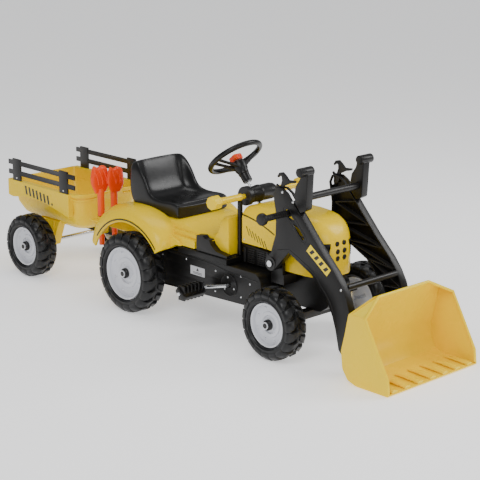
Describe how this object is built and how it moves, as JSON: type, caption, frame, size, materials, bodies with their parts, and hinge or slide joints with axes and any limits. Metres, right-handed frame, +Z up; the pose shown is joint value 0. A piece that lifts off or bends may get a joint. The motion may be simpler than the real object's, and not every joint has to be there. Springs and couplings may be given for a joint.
{
  "type": "ride-on pedal loader tractor",
  "caption": "Pedal-driven ride-on toy tractor with a lifting front loader bucket, steered front wheels and a hitched trailer with side rails.",
  "frame": {"origin": "on the floor, under the middle of the whole object's box", "axes": "+X forwards to the loader bucket, +Y to the rider's left, +Z up"},
  "size_m": [1.7781, 0.524, 0.5673],
  "materials": {
    "yellow_plastic": "glossy moulded yellow plastic",
    "black_plastic": "satin moulded black plastic",
    "seat_plastic": "smooth moulded black plastic",
    "tyre_plastic": "hollow moulded black plastic tyre, satin",
    "rim_plastic": "white moulded plastic",
    "orange_plastic": "orange moulded plastic",
    "zinc_steel": "bright plated steel"
  },
  "bodies": {
    "chassis": {"main_frame": "black_plastic", "side_case_left": "black_plastic", "side_case_right": "black_plastic", "foot_board_left": "black_plastic", "foot_board_right": "black_plastic", "engine_block": "black_plastic", "front_axle_beam": "black_plastic", "body_shell": "yellow_plastic", "seat": "seat_plastic", "hood": "yellow_plastic", "dash_post_left": "black_plastic", "dash_post_right": "black_plastic", "dash_drum": "black_plastic", "dash_bar": "yellow_plastic", "drive_chain": "zinc_steel", "arm_pivot_bolt_left": "zinc_steel", "arm_pivot_bolt_right": "zinc_steel", "hitch_bracket": "zinc_steel"},
    "steering": {"steering_wheel": "black_plastic", "steering_shaft": "zinc_steel"},
    "horn": {"horn_button": "orange_plastic"},
    "tie_rod": {"tie_rod": "zinc_steel"},
    "knuckle_left": {"knuckle_left": "zinc_steel"},
    "knuckle_right": {"knuckle_right": "zinc_steel"},
    "front_wheel_left": {"front_tyre_left": "tyre_plastic", "front_rim_left": "rim_plastic"},
    "front_wheel_right": {"front_tyre_right": "tyre_plastic", "front_rim_right": "rim_plastic"},
    "rear_wheels": {"rear_axle": "zinc_steel", "axle_sprocket": "zinc_steel", "rear_tyre_left": "tyre_plastic", "rear_tyre_right": "tyre_plastic", "rear_rim_left": "rim_plastic", "rear_rim_right": "rim_plastic"},
    "crank": {"crank_rod": "zinc_steel", "chainring": "zinc_steel"},
    "pedal_left": {"pedal_left": "black_plastic"},
    "pedal_right": {"pedal_right": "black_plastic"},
    "loader": {"arm_left": "black_plastic", "arm_right": "black_plastic", "arm_head_left": "black_plastic", "arm_head_right": "black_plastic", "upper_crossbar": "black_plastic", "lower_crossbar": "black_plastic"},
    "bucket": {"bucket": "yellow_plastic"},
    "lever": {"bucket_lever": "black_plastic"},
    "latch_left": {"latch_left": "black_plastic"},
    "latch_right": {"latch_right": "black_plastic"},
    "trailer": {"trailer_tub": "yellow_plastic", "rail_left": "black_plastic", "rail_right": "black_plastic", "trailer_tongue": "black_plastic", "trailer_axle": "zinc_steel", "hitch_pin": "zinc_steel"},
    "trailer_wheel_left": {"trailer_tyre_left": "tyre_plastic", "trailer_rim_left": "rim_plastic"},
    "trailer_wheel_right": {"trailer_tyre_right": "tyre_plastic", "trailer_rim_right": "rim_plastic"},
    "rake": {"toy_rake": "orange_plastic"},
    "shovel": {"toy_shovel": "orange_plastic"}
  },
  "joints": [
    {"name": "steering_turn", "type": "hinge", "parent": "chassis", "child": "steering", "pos_m": [0.095, 0, 0.505], "axis": [-0.6498, 0, 0.7601], "range_deg": [-30, 30]},
    {"name": "horn_press", "type": "slide", "parent": "steering", "child": "horn", "axis": [0.6498, 0, -0.7601], "range_m": [0, 0.003], "stiffness_N_per_m": 500},
    {"name": "knuckle_left_turn", "type": "hinge", "parent": "chassis", "child": "knuckle_left", "pos_m": [0.455, 0.135, 0.106], "axis": [0, 0, 1], "range_deg": [-22.5, 22.5]},
    {"name": "knuckle_right_turn", "type": "hinge", "parent": "chassis", "child": "knuckle_right", "pos_m": [0.455, -0.135, 0.106], "axis": [0, 0, 1], "range_deg": [-22.5, 22.5]},
    {"name": "tie_rod_shift", "type": "slide", "parent": "chassis", "child": "tie_rod", "axis": [0, 1, 0], "range_m": [-0.023, 0.023]},
    {"name": "front_wheel_left_spin", "type": "hinge", "parent": "knuckle_left", "child": "front_wheel_left", "pos_m": [0.455, 0.189, 0.106], "axis": [0, 1, 0], "continuous": true},
    {"name": "front_wheel_right_spin", "type": "hinge", "parent": "knuckle_right", "child": "front_wheel_right", "pos_m": [0.455, -0.189, 0.106], "axis": [0, 1, 0], "continuous": true},
    {"name": "rear_axle_spin", "type": "hinge", "parent": "chassis", "child": "rear_wheels", "pos_m": [-0.17, 0, 0.127], "axis": [0, 1, 0], "continuous": true},
    {"name": "crank_spin", "type": "hinge", "parent": "chassis", "child": "crank", "pos_m": [0.212, 0, 0.155], "axis": [0, 1, 0], "continuous": true},
    {"name": "pedal_left_spin", "type": "hinge", "parent": "crank", "child": "pedal_left", "pos_m": [0.29739, 0.212, 0.17629], "axis": [0, 1, 0], "continuous": true},
    {"name": "pedal_right_spin", "type": "hinge", "parent": "crank", "child": "pedal_right", "pos_m": [0.12661, -0.212, 0.13371], "axis": [0, 1, 0], "continuous": true},
    {"name": "loader_lift", "type": "hinge", "parent": "chassis", "child": "loader", "pos_m": [0.378, 0, 0.255], "axis": [0, -1, 0], "range_deg": [0, 49.8]},
    {"name": "bucket_tilt", "type": "hinge", "parent": "loader", "child": "bucket", "pos_m": [0.7, 0, 0.034], "axis": [0, 1, 0], "range_deg": [0, 45]},
    {"name": "lever_slide", "type": "slide", "parent": "loader", "child": "lever", "axis": [0.6968, 0, -0.7173], "range_m": [0, 0.076]},
    {"name": "latch_left_press", "type": "hinge", "parent": "loader", "child": "latch_left", "pos_m": [0.404, 0.1165, 0.468], "axis": [0, 1, 0], "range_deg": [0, 12], "stiffness_Nm_per_rad": 0.4},
    {"name": "latch_right_press", "type": "hinge", "parent": "loader", "child": "latch_right", "pos_m": [0.404, -0.1165, 0.468], "axis": [0, 1, 0], "range_deg": [0, 12], "stiffness_Nm_per_rad": 0.4},
    {"name": "trailer_yaw", "type": "hinge", "parent": "chassis", "child": "trailer", "pos_m": [-0.43, 0, 0.15], "axis": [0, 0, 1], "range_deg": [-30, 30]},
    {"name": "trailer_wheel_left_spin", "type": "hinge", "parent": "trailer", "child": "trailer_wheel_left", "pos_m": [-0.705, 0.191, 0.106], "axis": [0, 1, 0], "continuous": true},
    {"name": "trailer_wheel_right_spin", "type": "hinge", "parent": "trailer", "child": "trailer_wheel_right", "pos_m": [-0.705, -0.191, 0.106], "axis": [0, 1, 0], "continuous": true},
    {"name": "rake_lift", "type": "slide", "parent": "chassis", "child": "rake", "axis": [0, 0, 1], "range_m": [0, 0.12]},
    {"name": "shovel_lift", "type": "slide", "parent": "chassis", "child": "shovel", "axis": [0, 0, 1], "range_m": [0, 0.12]}
  ],
  "couplings": [
    {"joint": "knuckle_left_turn", "follows": "steering_turn", "ratio": 0.7333},
    {"joint": "knuckle_right_turn", "follows": "steering_turn", "ratio": 0.7333},
    {"joint": "tie_rod_shift", "follows": "steering_turn", "m_per_rad": -0.043},
    {"joint": "crank_spin", "follows": "rear_axle_spin", "ratio": 0.58333},
    {"joint": "lever_slide", "follows": "bucket_tilt", "m_per_rad": 0.0955}
  ]
}
